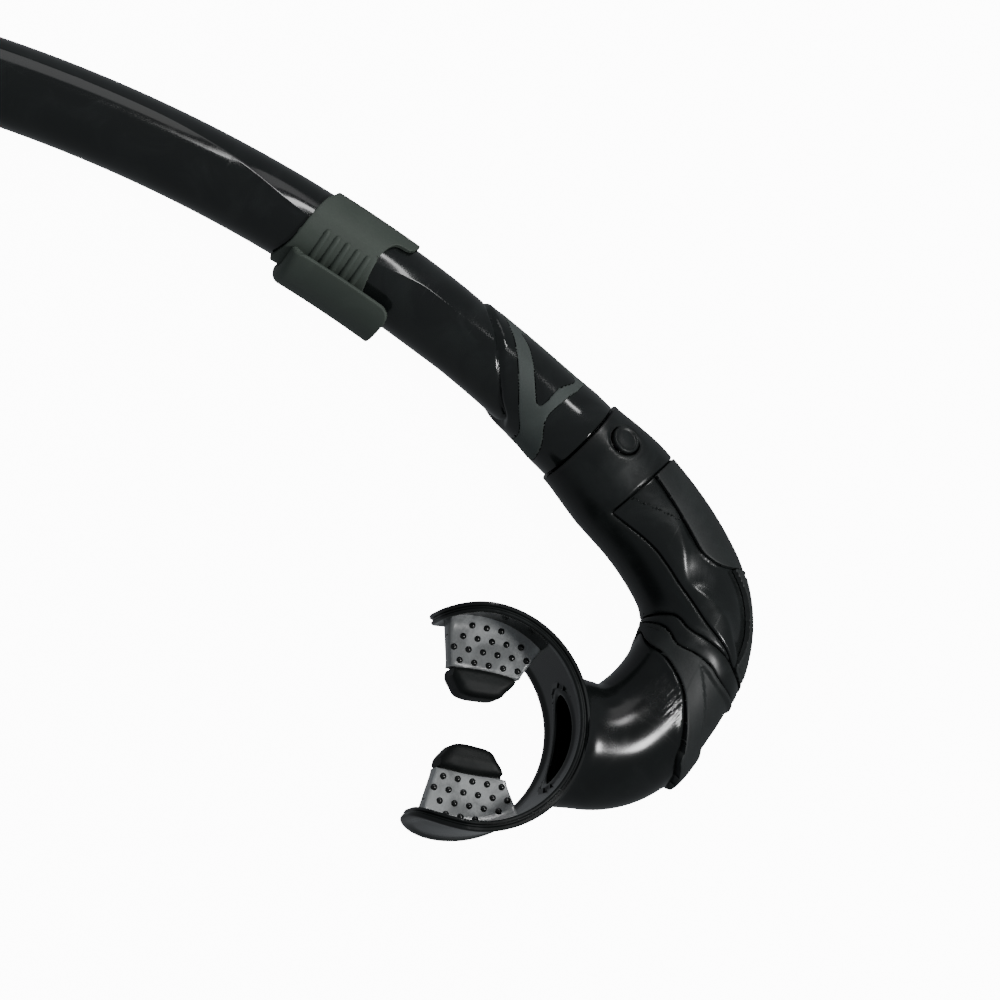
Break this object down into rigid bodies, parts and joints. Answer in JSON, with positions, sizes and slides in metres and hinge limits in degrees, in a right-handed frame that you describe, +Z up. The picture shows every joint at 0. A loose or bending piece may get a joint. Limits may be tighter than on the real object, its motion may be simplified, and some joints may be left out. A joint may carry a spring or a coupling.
{
  "type": "snorkel",
  "caption": "Snorkel with curved barrel, sliding strap keeper, quick-release collar, purge chamber, angled lower elbow and a lip-flange mouthpiece with bite tabs.",
  "frame": {"origin": "on the surface the snorkel lies on, under the centre of its overall box", "axes": "+X along the barrel at the strap keeper towards the air inlet, +Y to the mouth side of the curve, +Z up off the surface"},
  "size_m": [0.4012, 0.1496, 0.0343],
  "materials": {
    "barrel_gloss": "polished black, moulded",
    "inlay_grey": "soft matte grey overmould",
    "inner_black": "plain moulded black",
    "seal_rubber": "lubricated nitrile",
    "chamber_satin": "satin black, moulded",
    "cover_gloss": "glossy black, moulded",
    "trim_matte": "fine-textured dark grey-black",
    "keeper_grey": "matte grey-green, flexible",
    "black_silicone": "satin liquid-moulded silicone",
    "clear_silicone": "clear grey silicone",
    "latch_steel": "stainless, satin"
  },
  "bodies": {
    "tube": {"barrel": "barrel_gloss", "barrel_inlay": "inlay_grey", "barrel_spigot": "inner_black", "spigot_o_ring": "seal_rubber", "inlet_collar": "chamber_satin", "splash_hood": "chamber_satin", "splash_vane": "inner_black"},
    "keeper": {"keeper_clip": "keeper_grey"},
    "lower_unit": {"chamber_body": "chamber_satin", "purge_cover": "cover_gloss", "cover_trim": "trim_matte", "purge_guard": "trim_matte", "outlet_ring": "chamber_satin", "outlet_fin": "trim_matte", "valve_seat": "inner_black", "mouthpiece": "black_silicone", "bite_pad_front": "clear_silicone", "bite_pad_rear": "clear_silicone", "button_spring": "latch_steel"},
    "release": {"release_button": "chamber_satin", "latch_plate": "latch_steel"},
    "purge_valve": {"purge_diaphragm": "clear_silicone"}
  },
  "joints": [
    {"name": "keeper_slide", "type": "hinge", "parent": "tube", "child": "keeper", "pos_m": [-0.03231, 0.3511, 0.0169], "axis": [0, 0, 1], "range_deg": [-3.4, 24.2]},
    {"name": "lower_unit_swivel", "type": "hinge", "parent": "tube", "child": "lower_unit", "pos_m": [-0.12062, -0.05133, 0.0169], "axis": [-0.9768, 0.2143, 0], "continuous": true},
    {"name": "release_press", "type": "slide", "parent": "lower_unit", "child": "release", "axis": [0.0627, 0.2856, -0.9563], "range_m": [0, 0.0015], "stiffness_N_per_m": 1200, "springref_m": -0.0012, "deforming": ["button_spring"]},
    {"name": "purge_valve_lift", "type": "slide", "parent": "lower_unit", "child": "purge_valve", "axis": [-0.9376, -0.3478, 0], "range_m": [0, 0.001], "stiffness_N_per_m": 60, "springref_m": -0.0004}
  ]
}
